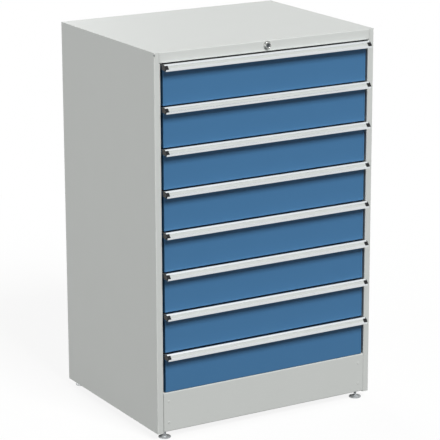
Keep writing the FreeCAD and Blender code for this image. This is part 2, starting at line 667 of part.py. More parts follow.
def main():
    os.makedirs("parts", exist_ok=True)
    right = side_panel()
    write("right_side_panel", right)
    write("left_side_panel", mirrored(right))
    write("top_panel", top_panel())
    write("back_panel", back_panel())
    write("base_panel", base_panel())
    write("plinth_panel", plinth_panel())
    write("uprights", uprights())
    write("cabinet_rails", cabinet_rails())
    write("lock_housing", lock_housing())
    write("lock_nut", lock_nut())
    write("lock_plug", lock_plug())
    write("lock_rod", lock_rod())
    write("rod_bracket", rod_bracket())
    write("locking_bar", locking_bar())
    write("bar_guide_studs", bar_guide_studs())
    names = ("front_left", "front_right", "rear_left", "rear_right")
    for name, (x, y) in zip(names, foot_places()):
        write("levelling_foot_" + name, levelling_foot(x, y))
    for number in range(1, DRAWER_COUNT + 1):
        drawer = "drawer_" + str(number)
        write(drawer + "_box", drawer_box(number))
        write(drawer + "_front", drawer_front(number))
        write(drawer + "_handle", drawer_handle(number))
        write(drawer + "_end_caps", drawer_end_caps(number))
        write(drawer + "_middle_rails", middle_rails(number))


main()
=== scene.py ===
# %% [markdown]
# A workshop drawer cabinet, dressed around its fixed frame.
# The frame holds every rigid piece at its real size, so this lesson adds only what a solid
# model leaves out: the finishes, the label strips, the balls in the runners, slots, threads
# and screws. Each of those rides on the body that carries it, and so follows every drawer.

# %% Load the fixed frame
import json
import math

import bpy
import bmesh
from mathutils import Matrix, Vector


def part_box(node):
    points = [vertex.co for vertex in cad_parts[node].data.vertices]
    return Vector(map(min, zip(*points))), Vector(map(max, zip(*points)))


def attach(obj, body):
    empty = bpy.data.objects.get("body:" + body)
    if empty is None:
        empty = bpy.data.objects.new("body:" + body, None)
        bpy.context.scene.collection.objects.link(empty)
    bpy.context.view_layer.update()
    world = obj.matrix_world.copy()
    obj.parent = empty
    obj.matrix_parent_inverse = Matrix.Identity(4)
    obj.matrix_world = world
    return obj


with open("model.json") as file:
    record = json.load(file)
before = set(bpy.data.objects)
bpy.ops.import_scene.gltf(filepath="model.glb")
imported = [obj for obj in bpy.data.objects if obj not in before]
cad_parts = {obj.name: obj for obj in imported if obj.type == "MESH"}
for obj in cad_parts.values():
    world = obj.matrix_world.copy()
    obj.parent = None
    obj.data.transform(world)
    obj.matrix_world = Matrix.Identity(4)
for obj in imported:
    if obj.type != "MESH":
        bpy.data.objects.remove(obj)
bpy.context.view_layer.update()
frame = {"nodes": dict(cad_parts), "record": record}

nodes = frame["nodes"]
DRAWERS = range(1, 1 + sum(1 for name in nodes if name.endswith("_front")))

# %% [markdown]
# Real sizes are easiest to read in millimetres, while Blender counts in metres. One factor
# keeps the two apart. The outer faces and the spacing of the drawers come from the frame
# itself. A size that its boxes don't show, such as a rail's height in its bay, is written
# where it is first needed.

# %% Units and places
MM = 0.001
post_low, post_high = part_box("right_side_panel")
FRONT = post_low.y
BACK = post_high.y
HALF_WIDTH = post_high.x
BASE = post_low.z
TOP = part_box("top_panel")[1].z
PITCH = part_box("drawer_1_front")[1].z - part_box("drawer_2_front")[1].z
print("post plane at y =", round(FRONT / MM, 1), "mm, drawer pitch", round(PITCH / MM, 1), "mm")

# %% [markdown]
# Colours are given as the hex values that a screen shows, which are stored with the
# sRGB curve. Blender adds light in linear values, so one function undoes that curve.

# %% Colours
SRGB_KNEE = 0.04045


def linear(hex_colour):
    """The linear RGBA of a screen colour such as #D2D5D2."""
    channels = [int(hex_colour[i:i + 2], 16) / 255 for i in (1, 3, 5)]
    straight = [c / 12.92 if c <= SRGB_KNEE else ((c + 0.055) / 1.055) ** 2.4 for c in channels]
    return (*straight, 1.0)


print("light grey in linear values:", [round(c, 3) for c in linear("#D2D5D2")])

# %% [markdown]
# Every material and every geometry tree is a net of nodes. Setting one up takes three things
# each time: make the node, set its fixed sockets, and connect the others. One small function
# does all three, so the lines below read like a list of what the finish is made of. A node
# with a single output can be given as it is. A Mix node has one socket A for each kind of
# data, and looking it up by name finds the kind that its data_type has switched on.

# %% A node with its settings and links


def add(tree, kind, inputs=None, **settings):
    """Adds a node. Settings are its properties, and inputs are values, sockets or nodes."""
    node = tree.nodes.new(kind)
    for name, value in settings.items():
        setattr(node, name, value)
    for key, value in (inputs or {}).items():
        if isinstance(value, bpy.types.Node):
            value = value.outputs[0]
        if isinstance(value, bpy.types.NodeSocket):
            tree.links.new(value, node.inputs[key])
        else:
            node.inputs[key].default_value = value
    return node


def new_material(name):
    """An empty material, and the tree in which its finish is built."""
    material = bpy.data.materials.new(name)
    material.use_nodes = True
    material.node_tree.nodes.clear()
    return material, material.node_tree


def per_metre(size):
    """The pattern scale whose features are about size metres across."""
    return 1.0 / size


print("a pattern of 3 mm needs the scale", round(per_metre(3 * MM), 1))

# %% [markdown]
# Powder coat is polyester dust, sprayed dry and baked at 180 degrees. It melts into a tough
# skin with a faint orange peel, a few millimetres from crest to crest, and much finer grain
# on top of it. The peel bends the highlights softly and the grain keeps them dull, so the
# finish is a mid-rough paint with two scales of bump. The colour hardly varies at all. The
# real grain is finer still, and is drawn at 0.7 mm so that it shows.

# %% Powder-coated sheet steel
CLOUD = 90 * MM
ORANGE_PEEL = 3 * MM
GRAIN = 0.7 * MM


def powder_coat(name, colour, shade, roughness, gloss):
    """Baked powder paint: colour and its barely darker shade, with peel and grain as bump."""
    material, tree = new_material(name)
    place = add(tree, "ShaderNodeTexCoord").outputs["Object"]
    cloud = add(tree, "ShaderNodeTexNoise", {
        "Vector": place, "Scale": per_metre(CLOUD), "Detail": 2.0})
    tone = add(tree, "ShaderNodeMix", {
        "Factor": cloud.outputs["Fac"], "A": linear(colour), "B": linear(shade)},
        data_type="RGBA")
    peel = add(tree, "ShaderNodeTexNoise", {
        "Vector": place, "Scale": per_metre(ORANGE_PEEL), "Detail": 1.0})
    grain = add(tree, "ShaderNodeTexNoise", {
        "Vector": place, "Scale": per_metre(GRAIN), "Detail": 2.0})
    soft = add(tree, "ShaderNodeBump", {
        "Strength": 0.12, "Distance": 0.05 * MM, "Height": peel.outputs["Fac"]})
    fine = add(tree, "ShaderNodeBump", {
        "Strength": 0.25, "Distance": 0.03 * MM, "Height": grain.outputs["Fac"],
        "Normal": soft})
    paint = add(tree, "ShaderNodeBsdfPrincipled", {
        "Base Color": tone.outputs["Result"], "Roughness": roughness, "IOR": 1.5,
        "Specular IOR Level": gloss, "Normal": fine})
    add(tree, "ShaderNodeOutputMaterial", {"Surface": paint})
    return material


housing_paint = powder_coat("powder coat light grey", "#D2D5D2", "#D0D3D0", 0.5, 0.5)
drawer_paint = powder_coat("powder coat blue", "#41739E", "#3F719C", 0.42, 0.3)
print("paints:", housing_paint.name, "and", drawer_paint.name)

# %% [markdown]
# The grips are drawn aluminium, pressed through a die and then anodised. The die leaves
# hair-fine lines along the bar, and anodising turns the shine to satin. Noise that is stretched
# along X gives those lines: it is sampled finely across the bar and very coarsely along it.
# The real lines are near a tenth of a millimetre, and are drawn at 0.6 mm so that they show.
# The other metals have no such direction, so their noise is as long as it is wide. Nickel
# gives the lock a warm soft shine, with its grey kept darker as painted shade for the dark
# surroundings that a polished ring mirrors. The plug's dark grey is painted shade in the same
# way. Zinc is a cool mid grey, and the balls are nearly mirrors.

# %% Anodised aluminium, nickel, zinc and steel
DIE_LINE = 0.6 * MM
DIE_RUN = 400 * MM
GLOSS_SPREAD = 0.06


def drawn_metal(name, colour, shade, roughness, across, along, strength):
    """A metal with fine lines along X: colour and shade vary with them, and so does gloss."""
    material, tree = new_material(name)
    place = add(tree, "ShaderNodeTexCoord").outputs["Object"]
    stretch = (per_metre(along), per_metre(across), per_metre(across))
    lines = add(tree, "ShaderNodeMapping", {"Vector": place, "Scale": stretch})
    noise = add(tree, "ShaderNodeTexNoise", {
        "Vector": lines, "Scale": 1.0, "Detail": 3.0}).outputs["Fac"]
    tone = add(tree, "ShaderNodeMix", {
        "Factor": noise, "A": linear(colour), "B": linear(shade)}, data_type="RGBA")
    gloss = add(tree, "ShaderNodeMapRange", {
        "Value": noise, "To Min": roughness - GLOSS_SPREAD, "To Max": roughness + GLOSS_SPREAD})
    bump = add(tree, "ShaderNodeBump", {
        "Strength": strength, "Distance": 0.02 * MM, "Height": noise})
    metal = add(tree, "ShaderNodeBsdfPrincipled", {
        "Base Color": tone.outputs["Result"], "Metallic": 1.0,
        "Roughness": gloss.outputs["Result"], "Normal": bump})
    add(tree, "ShaderNodeOutputMaterial", {"Surface": metal})
    return material


handle_aluminium = drawn_metal(
    "anodised aluminium", "#DCE0E2", "#D4D8DA", 0.22, DIE_LINE, DIE_RUN, 0.25)
# The nickel's grey is kept darker than bare nickel. This is painted shade for the dark
# surroundings that the polished ring would mirror.
lock_nickel = drawn_metal(
    "satin nickel darkened with painted shade", "#A4A5A3", "#989A98", 0.24, 0.4 * MM, 0.4 * MM, 0.1)
rod_zinc = drawn_metal(
    "turned zinc-plated steel", "#C3C6C8", "#B2B6B9", 0.33, 0.5 * MM, 0.5 * MM, 0.2)
# The plug's dark grey is painted shade for the dark that its polished face would mirror.
plug_painted_shade = drawn_metal(
    "plug steel darkened with painted shade", "#606467", "#55595C", 0.4, 0.4 * MM, 0.4 * MM, 0.2)
ball_steel = drawn_metal(
    "polished bearing steel", "#C4C6C8", "#BEC0C2", 0.12, 2 * MM, 2 * MM, 0.05)
print("metals:", handle_aluminium.name, lock_nickel.name, rod_zinc.name, plug_painted_shade.name)

# %% [markdown]
# Rolled strip that went through a zinc bath cools into flat crystals, each of which throws the
# light its own way. A Voronoi pattern is made of just such cells: every cell gets one random
# grey, and a little of that goes to the gloss, so the spangle shows in reflections too. The
# feet are duller, because weather and handling leave a chalky film that is only half metal.

# %% Galvanised strip
SPANGLE = 7 * MM
SPANGLE_SPREAD = 0.08
ZINC_LIGHT = "#C9CCCE"
ZINC_DARK = "#BDC1C4"
ZINC_ROUGHNESS = 0.34


def spangle(tree, place, light, dark):
    """The crystals' grey, and one random value for each crystal."""
    cells = add(tree, "ShaderNodeTexVoronoi", {"Vector": place, "Scale": per_metre(SPANGLE)})
    chance = add(tree, "ShaderNodeSeparateColor", {"Color": cells.outputs["Color"]}).outputs
    grey = add(tree, "ShaderNodeMix", {
        "Factor": chance["Red"], "A": linear(light), "B": linear(dark)}, data_type="RGBA")
    return grey.outputs["Result"], chance["Green"]


def galvanised(name, light, dark, roughness, bare=1.0):
    """Zinc-coated strip: flat crystals with their own grey and gloss, bare metal or chalky."""
    material, tree = new_material(name)
    place = add(tree, "ShaderNodeTexCoord").outputs["Object"]
    grey, chance = spangle(tree, place, light, dark)
    gloss = add(tree, "ShaderNodeMapRange", {
        "Value": chance, "To Min": roughness - SPANGLE_SPREAD,
        "To Max": roughness + SPANGLE_SPREAD})
    metal = add(tree, "ShaderNodeBsdfPrincipled", {
        "Base Color": grey, "Metallic": bare, "Roughness": gloss.outputs["Result"]})
    add(tree, "ShaderNodeOutputMaterial", {"Surface": metal})
    return material


inner_zinc = galvanised("galvanised sheet", "#B9BDBF", "#A6ABAE", 0.45)
runner_zinc = galvanised("bright zinc-plated strip", ZINC_LIGHT, ZINC_DARK, ZINC_ROUGHNESS)
foot_zinc = galvanised("pressed zinc-plated foot", "#C6C9CA", "#B9BCBE", 0.5, 0.4)
print("strips:", inner_zinc.name, runner_zinc.name, foot_zinc.name)

# %% [markdown]
# The end caps of the grips are moulded ABS, black right through. The mould is spark-eroded,
# which prints a fine even grain on the plastic and takes the shine off. The closing plate at
# the side was polished in the mould, so a face that looks along X may be given more shine.
# The label is white card gone grey behind its film, and the dark of a slot is painted shade
# on a thin plate.

# %% Moulded plastic, card, and painted shade for slots
SPARK_GRAIN = 0.3 * MM
GRAIN_SPREAD = 0.05


def moulded_plastic(name, colour, roughness, strength, shine, side_shine=None):
    """A solid-coloured plastic with the grain of its mould, polished on its sides if asked."""
    material, tree = new_material(name)
    place = add(tree, "ShaderNodeTexCoord").outputs["Object"]
    grain = add(tree, "ShaderNodeTexNoise", {
        "Vector": place, "Scale": per_metre(SPARK_GRAIN), "Detail": 2.0}).outputs["Fac"]
    bump = add(tree, "ShaderNodeBump", {
        "Strength": strength, "Distance": 0.03 * MM, "Height": grain})
    gloss = add(tree, "ShaderNodeMapRange", {
        "Value": grain, "To Min": roughness - GRAIN_SPREAD, "To Max": roughness + GRAIN_SPREAD})
    if side_shine is not None:
        normal = add(tree, "ShaderNodeNewGeometry").outputs["Normal"]
        facing = add(tree, "ShaderNodeSeparateXYZ", {"Vector": normal}).outputs["X"]
        sideways = add(tree, "ShaderNodeMath", {0: facing}, operation="ABSOLUTE")
        shine = add(tree, "ShaderNodeMapRange", {
            "Value": sideways, "To Min": shine, "To Max": side_shine}).outputs["Result"]
    body = add(tree, "ShaderNodeBsdfPrincipled", {
        "Base Color": linear(colour), "Roughness": gloss.outputs["Result"], "IOR": 1.54,
        "Specular IOR Level": shine, "Normal": bump})
    add(tree, "ShaderNodeOutputMaterial", {"Surface": body})
    return material


cap_plastic = moulded_plastic("moulded black ABS", "#0B0C0E", 0.5, 0.3, 0.15, 0.8)
# Slots, vents and holes are openings, and their dark plates are painted shade in this plastic
# finish.
slot_shade = moulded_plastic("painted shade in a slot", "#101214", 0.8, 0.1, 0.1)
label_card = moulded_plastic("label card under clear film", "#C0C4C1", 0.35, 0.1, 0.5)
print("plastics:", cap_plastic.name, label_card.name)

# %% [markdown]
# A drawer's tray is painted, but the runner rails and the lock's catch that are fixed to it
# are bare zinc. They are one rigid node, so the material tells them apart by place: Object
# coordinates give the position in the frame, the remainder of the height within one pitch
# gives the height in a drawer, and a few comparisons pick the zinc. The heights are counted
# from one and a half pitches below the lowest rail, so that none is negative and each rail
# lies in the middle of its remainder.

# %% Where a drawer's rails are
TRAY_IN_BAY = 8 * MM
RAIL_IN_BAY = 60 * MM
RAIL_REACH = 16 * MM
TRAY_FRONT = FRONT + 16 * MM
TRAY_REAR = FRONT + 556 * MM
TRAY_SIDE = 342 * MM
PAINT_EDGE = 0.02 * MM


def bay_floor(number):
    """The height at which a drawer's bay begins. Drawer 1 is the top one."""
    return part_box("drawer_%d_box" % number)[0].z - TRAY_IN_BAY


LOWEST_RAIL = bay_floor(DRAWERS[-1]) + RAIL_IN_BAY
print("rails from", round(LOWEST_RAIL / MM, 1), "mm up, every", round(PITCH / MM, 1), "mm")

# %% [markdown]
# The comparisons give 1 or 0. Multiplying two of them means that both must hold, and the
# larger of two means that either will do. The result mixes the two finished surfaces.

# %% Tray with zinc rails


def tray_material():
    """Powder coat on the tray and zinc on what is beside or behind it."""
    material, tree = new_material("powder-coated tray with zinc rails")
    place = add(tree, "ShaderNodeTexCoord").outputs["Object"]
    axis = add(tree, "ShaderNodeSeparateXYZ", {"Vector": place}).outputs
    above = add(tree, "ShaderNodeMath", {
        0: axis["Z"], 1: LOWEST_RAIL - 1.5 * PITCH}, operation="SUBTRACT")
    within = add(tree, "ShaderNodeMath", {0: above, 1: PITCH}, operation="MODULO")
    centred = add(tree, "ShaderNodeMath", {0: within, 1: PITCH / 2}, operation="SUBTRACT")
    off_rail = add(tree, "ShaderNodeMath", {0: centred}, operation="ABSOLUTE")
    at_rail = add(tree, "ShaderNodeMath", {0: off_rail, 1: RAIL_REACH}, operation="LESS_THAN")
    sideways = add(tree, "ShaderNodeMath", {0: axis["X"]}, operation="ABSOLUTE")
    outside = add(tree, "ShaderNodeMath", {
        0: sideways, 1: TRAY_SIDE + PAINT_EDGE}, operation="GREATER_THAN")
    behind = add(tree, "ShaderNodeMath", {
        0: axis["Y"], 1: TRAY_REAR + PAINT_EDGE}, operation="GREATER_THAN")
    on_rail = add(tree, "ShaderNodeMath", {0: at_rail, 1: outside}, operation="MULTIPLY")
    zinc_here = add(tree, "ShaderNodeMath", {0: on_rail, 1: behind}, operation="MAXIMUM")
    grain = add(tree, "ShaderNodeTexNoise", {
        "Vector": place, "Scale": per_metre(GRAIN), "Detail": 2.0})
    bump = add(tree, "ShaderNodeBump", {
        "Strength": 0.2, "Distance": 0.03 * MM, "Height": grain.outputs["Fac"]})
    paint = add(tree, "ShaderNodeBsdfPrincipled", {
        "Base Color": linear("#C9CCC9"), "Roughness": 0.48, "Normal": bump})
    grey, chance = spangle(tree, place, ZINC_LIGHT, ZINC_DARK)
    zinc = add(tree, "ShaderNodeBsdfPrincipled", {
        "Base Color": grey, "Metallic": 1.0, "Roughness": ZINC_ROUGHNESS})
    both = add(tree, "ShaderNodeMixShader", {0: zinc_here, 1: paint, 2: zinc})
    add(tree, "ShaderNodeOutputMaterial", {"Surface": both})
    return material


tray_paint = tray_material()
print("tray finish:", tray_paint.name)

# %% [markdown]
# The frame arrives with plain materials in named slots. The record says which slot each node
# takes, so the finishes are handed out by slot name and no node is forgotten. The plug of the
# lock shares its slot with the housing, and gets its darker steel afterwards, whose dark grey
# is painted shade.

# %% Hand the finishes to the frame
FINISHES = {
    "housing_paint": housing_paint, "drawer_paint": drawer_paint, "tray_paint": tray_paint,
    "handle_aluminium": handle_aluminium, "cap_plastic": cap_plastic,
    "runner_zinc": runner_zinc, "inner_zinc": inner_zinc, "rod_zinc": rod_zinc,
    "foot_zinc": foot_zinc, "lock_nickel": lock_nickel,
}
for part in frame["record"]["subparts"]:
    mesh = nodes[part["node"]].data
    mesh.materials.clear()
    mesh.materials.append(FINISHES[part["material_slot"]])
nodes["lock_plug"].data.materials[0] = plug_painted_shade

# %% [markdown]
# Geometry Nodes build a mesh from rules. Every tree here begins with named inputs and ends in
# the same way: the copies become real mesh, and then the material is set on it. Two helpers
# hold that beginning and that end, so that a tree's own lines show only its rule.

# %% Both ends of a geometry tree


def new_tree(name, sockets):
    """A geometry tree with these named inputs, and those inputs to build from."""
    tree = bpy.data.node_groups.new(name, "GeometryNodeTree")
    for socket, kind in sockets.items():
        tree.interface.new_socket(socket, in_out="INPUT", socket_type="NodeSocket" + kind)
    tree.interface.new_socket("Geometry", in_out="OUTPUT", socket_type="NodeSocketGeometry")
    return tree, add(tree, "NodeGroupInput").outputs


def end_tree(tree, shape, material):
    """Turns copies into real mesh, sets their material and hands the result out."""
    real = add(tree, "GeometryNodeRealizeInstances", {"Geometry": shape})
    finished = add(tree, "GeometryNodeSetMaterial", {"Geometry": real, "Material": material})
    add(tree, "NodeGroupOutput", {"Geometry": finished})


print("a tree can now be built")

# %% [markdown]
# Screws, balls and slots are one small shape many times over. A geometry tree does that best:
# it lays out points in rows, columns and layers, and puts a copy of the shape on each. The
# index of each point gives its column, row and layer, so one tree with a count and a step for
# each direction serves every repeat in the cabinet.

# %% A tree that repeats a shape


def repeating_tree():
    """Copies of Shape: Columns along X, Rows along Y and Layers along Z, a Step apart."""
    tree, given = new_tree("repeat a shape", {
        "Shape": "Object", "Columns": "Int", "Rows": "Int", "Layers": "Int",
        "Start": "Vector", "Step": "Vector", "Material": "Material"})
    columns, rows, layers = given["Columns"], given["Rows"], given["Layers"]
    flat = add(tree, "ShaderNodeMath", {0: columns, 1: rows}, operation="MULTIPLY")
    count = add(tree, "ShaderNodeMath", {0: flat, 1: layers}, operation="MULTIPLY")
    index = add(tree, "GeometryNodeInputIndex")
    column = add(tree, "ShaderNodeMath", {0: index, 1: columns}, operation="FLOORED_MODULO")
    lines = add(tree, "ShaderNodeMath", {0: index, 1: columns}, operation="DIVIDE")
    line = add(tree, "ShaderNodeMath", {0: lines}, operation="FLOOR")
    row = add(tree, "ShaderNodeMath", {0: line, 1: rows}, operation="FLOORED_MODULO")
    levels = add(tree, "ShaderNodeMath", {0: index, 1: flat}, operation="DIVIDE")
    layer = add(tree, "ShaderNodeMath", {0: levels}, operation="FLOOR")
    cell = add(tree, "ShaderNodeCombineXYZ", {"X": column, "Y": row, "Z": layer})
    place = add(tree, "ShaderNodeVectorMath", {
        0: cell, 1: given["Step"], 2: given["Start"]}, operation="MULTIPLY_ADD")
    points = add(tree, "GeometryNodePoints", {
        "Count": count, "Position": place.outputs["Vector"]})
    shape = add(tree, "GeometryNodeObjectInfo", {"Object": given["Shape"]})
    copies = add(tree, "GeometryNodeInstanceOnPoints", {
        "Points": points, "Instance": shape.outputs["Geometry"]})
    end_tree(tree, copies, given["Material"])
    return tree


REPEAT = repeating_tree()
print("tree inputs:", [item.name for item in REPEAT.interface.items_tree
                       if item.in_out == "INPUT"])

# %% [markdown]
# A modifier runs the tree on an empty mesh. Its inputs are set by their identifiers before
# Blender looks at the object. Then the evaluated result is copied into a plain mesh and the
# holder goes with its modifier, so what is left is an ordinary piece that can ride on a body.

# %% From tree to plain piece


def place_in_scene(name, mesh):
    """An object with this mesh, at the origin of the scene."""
    thing = bpy.data.objects.new(name, mesh)
    bpy.context.scene.collection.objects.link(thing)
    return thing


def run_tree(name, tree, values):
    """The result of a geometry tree with these named inputs, as an object with a plain mesh."""
    holder = place_in_scene(name + "_holder", bpy.data.meshes.new(name + "_holder"))
    modifier = holder.modifiers.new("tree", "NODES")
    modifier.node_group = tree
    for item in tree.interface.items_tree:
        if item.item_type == "SOCKET" and item.in_out == "INPUT":
            modifier[item.identifier] = values[item.name]
    holder.update_tag()
    bpy.context.view_layer.update()
    ready = holder.evaluated_get(bpy.context.evaluated_depsgraph_get())
    mesh = bpy.data.meshes.new_from_object(ready)
    bpy.data.objects.remove(holder)
    return place_in_scene(name, mesh)


def repeat(name, shape, counts, start, step, material, body):
    """Copies of a shape in a lattice, as one piece that rides on a body."""
    columns, rows, layers = counts
    piece = run_tree(name, REPEAT, {
        "Shape": shape, "Columns": columns, "Rows": rows, "Layers": layers,
        "Start": Vector(start), "Step": Vector(step), "Material": material})
    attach(piece, body)


def discard(*shapes):
    """Takes away the single shapes once the tree has made its copies of them."""
    for shape in shapes:
        bpy.data.objects.remove(shape)


print("a tree can now be run")

# %% [markdown]
# Each grip holds a long strip of card behind clear film, slid into the slanted channel from
# the end before the cap is pressed in. It is a thin flat bar with the slope of the channel,
# so its section is four corners, and it is pulled out along X between the two end caps. The
# corners are given by their way down the slope and their depth behind the face. A bmesh holds
# the shape while it is being built, and a last step makes it an ordinary piece.

# %% Label strips
CAP_NOSE = 9.8 * MM
BROW_REACH = 13 * MM
LABEL_FACE_ANGLE = math.radians(49.6)
STRIP_TOP = 4.8 * MM
STRIP_BOTTOM = 16.4 * MM
STRIP_FACE = 1.2 * MM
STRIP_BACK = 2.2 * MM


def from_bmesh(name, work, material=None):
    """An object from a finished bmesh, with its faces turned outward."""
    bmesh.ops.recalc_face_normals(work, faces=work.faces[:])
    mesh = bpy.data.meshes.new(name)
    work.to_mesh(mesh)
    work.free()
    if material:
        mesh.materials.append(material)
    return place_in_scene(name, mesh)


def on_label_face(top, down, behind):
    """A (y, z) place on the slanted face: so far down its slope, and so far behind it."""
    run = Vector((-math.cos(LABEL_FACE_ANGLE), -math.sin(LABEL_FACE_ANGLE)))
    inward = Vector((-run.y, run.x))
    place = Vector((FRONT - BROW_REACH, top)) + run * down + inward * behind
    return (place.x, place.y)


def bar_along_x(name, section, x0, x1, material):
    """A straight bar along X from a closed section of (y, z) corners."""
    work = bmesh.new()
    near = [work.verts.new((x0, y, z)) for y, z in section]
    far = [work.verts.new((x1, y, z)) for y, z in section]
    work.faces.new(near[::-1])
    work.faces.new(far)
    for i in range(len(section)):
        j = (i + 1) % len(section)
        work.faces.new((near[i], near[j], far[j], far[i]))
    return from_bmesh(name, work, material)


for number in DRAWERS:
    grip_low, grip_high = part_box("drawer_%d_handle" % number)
    corners = [on_label_face(grip_high.z, down, behind) for down, behind in (
        (STRIP_TOP, STRIP_FACE), (STRIP_BOTTOM, STRIP_FACE),
        (STRIP_BOTTOM, STRIP_BACK), (STRIP_TOP, STRIP_BACK))]
    strip = bar_along_x("label_strip_%d" % number, corners, grip_low.x + CAP_NOSE,
                        grip_high.x - CAP_NOSE, label_card)
    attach(strip, "drawer_%d" % number)
strip_length = grip_high.x - grip_low.x - 2 * CAP_NOSE
print("label strips:", len(DRAWERS), "of", round(strip_length / MM), "mm")

# %% [markdown]
# Rivets, screws and rings are all turned shapes: a few rings of corners, joined face by face
# and closed at both ends. A ring can also be drawn as a hexagon, which gives a screw its
# socket. Each shape is made around Z and then tipped over to the way it has to point.

# %% Turned shapes
RING_CORNERS = 24


def ring_radius(radius, hexagonal, turn):
    """The distance of a ring's corner from the axis: the radius, or a hexagon's outline."""
    if not hexagonal:
        return radius
    sixth = math.pi / 3
    return radius / math.cos((turn + sixth / 2) % sixth - sixth / 2)


def turned(name, rings, toward, open_middle=False):
    """A shape from (radius, height, hexagonal) rings around an axis that points toward."""
    work = bmesh.new()
    tip = Vector(toward).to_track_quat("Z", "Y")
    loops = []
    for radius, height, hexagonal in rings:
        loop = []
        for i in range(RING_CORNERS):
            turn = 2 * math.pi * i / RING_CORNERS
            reach = ring_radius(radius, hexagonal, turn)
            corner = Vector((reach * math.cos(turn), reach * math.sin(turn), height))
            loop.append(work.verts.new(tip @ corner))
        loops.append(loop)
    pairs = list(zip(loops, loops[1:]))
    if open_middle:
        pairs.append((loops[-1], loops[0]))
    else:
        work.faces.new(loops[0])
        work.faces.new(loops[-1])
    for inner, outer in pairs:
        for i in range(RING_CORNERS):
            j = (i + 1) % RING_CORNERS
            work.faces.new((inner[i], inner[j], outer[j], outer[i])).smooth = True
    return from_bmesh(name, work)


print("turned shapes have", RING_CORNERS, "corners in each ring")

# %% [markdown]
# A button-head screw is a low dome with a hexagon socket. A rivet's head is a dome on either
# side of the sheet: the half that shows is the head, and the other half is buried. Both are
# written as shares of their radius and height, so one profile serves every size.

# %% Screws and rivets
SCREW_PROFILE = ((1.0, 0.0), (1.0, 0.3), (0.86, 0.75), (0.6, 1.0))
SOCKET_SHARE = 0.36
SOCKET_FLOOR = 0.35
RIVET_PROFILE = ((0.35, -1.0), (0.8, -0.65), (1.0, 0.0), (0.8, 0.65), (0.35, 1.0))
ACROSS = (1, 0, 0)
BACKWARD = (0, 1, 0)
FORWARD = (0, -1, 0)


def button_screw(name, radius, height, toward):
    """A low round head with a hexagon socket, its seat at the origin."""
    head = [(share * radius, level * height, False) for share, level in SCREW_PROFILE]
    socket = [(SOCKET_SHARE * radius, level * height, True) for level in (1.0, SOCKET_FLOOR)]
    return turned(name, head + socket, toward)


def rivet(name, radius, half_height, toward):
    """A rivet head that is domed on both sides, so it can sit in either face of a sheet."""
    rings = [(share * radius, level * half_height, False) for share, level in RIVET_PROFILE]
    return turned(name, rings, toward)


print("a screw has", len(SCREW_PROFILE) + 2, "rings and a rivet", len(RIVET_PROFILE))

# %% [markdown]
# Slots are too many to cut into a solid for looks alone. A thin plate with round ends, a tenth
# of a millimetre proud of the sheet and dark with painted shade, reads as an opening from any
# side that matters.

# %% Slot plates
SLOT_PROUD = 0.1 * MM
END_STEPS = 6


def obround_plate(name, width, height):
    """A thin plate with round ends, standing in the XZ plane."""
    work = bmesh.new()
    radius = width / 2
    reach = (height - width) / 2
    corners = []
    for end in (1, -1):
        for i in range(END_STEPS + 1):
            turn = math.pi * i / END_STEPS
            corners.append((end * radius * math.cos(turn),
                            end * (reach + radius * math.sin(turn))))
    front = [work.verts.new((x, -SLOT_PROUD, z)) for x, z in corners]
    back = [work.verts.new((x, SLOT_PROUD, z)) for x, z in corners]
    work.faces.new(front)
    work.faces.new(back[::-1])
    for i in range(len(corners)):
        j = (i + 1) % len(corners)
        work.faces.new((front[i], back[i], back[j], front[j]))
    return from_bmesh(name, work)


print("a slot plate has", 2 * (END_STEPS + 1), "corners")

# %% [markdown]
# The tray is held to its front by button-head screws, and its rails and its catch are riveted
# on. Slots in the front and rear walls take divider plates. All of them are given by their
# place in a drawer's bay, so one set of sizes serves every drawer.

# %% What is inside a drawer
WALL_SHEET = 1.2 * MM
FRONT_WALL = TRAY_FRONT + WALL_SHEET
REAR_WALL = TRAY_REAR - WALL_SHEET
SIDE_WALL = TRAY_SIDE - WALL_SHEET
SCREW_COLUMNS = 4
SCREW_APART = 200 * MM
SCREW_IN_BAY = 14.5 * MM
SCREW_ROWS_APART = 92.5 * MM
RAIL_RIVETS = 4
RAIL_RIVET_START = FRONT + 60 * MM
RAIL_RIVET_APART = 140 * MM
CATCH_RIVET_X = 22.5 * MM
CATCH_RIVET_IN_BAY = 75 * MM
CATCH_RIVET_APART = 12 * MM
SLOT_COLUMNS = 39
SLOT_APART = 17 * MM
SLOT_IN_BAY = 30 * MM
SLOT_ROWS_APART = 30 * MM


def centred(count, apart):
    """Where a row of things begins that stand apart, with their middle at zero."""
    return -apart * (count - 1) / 2


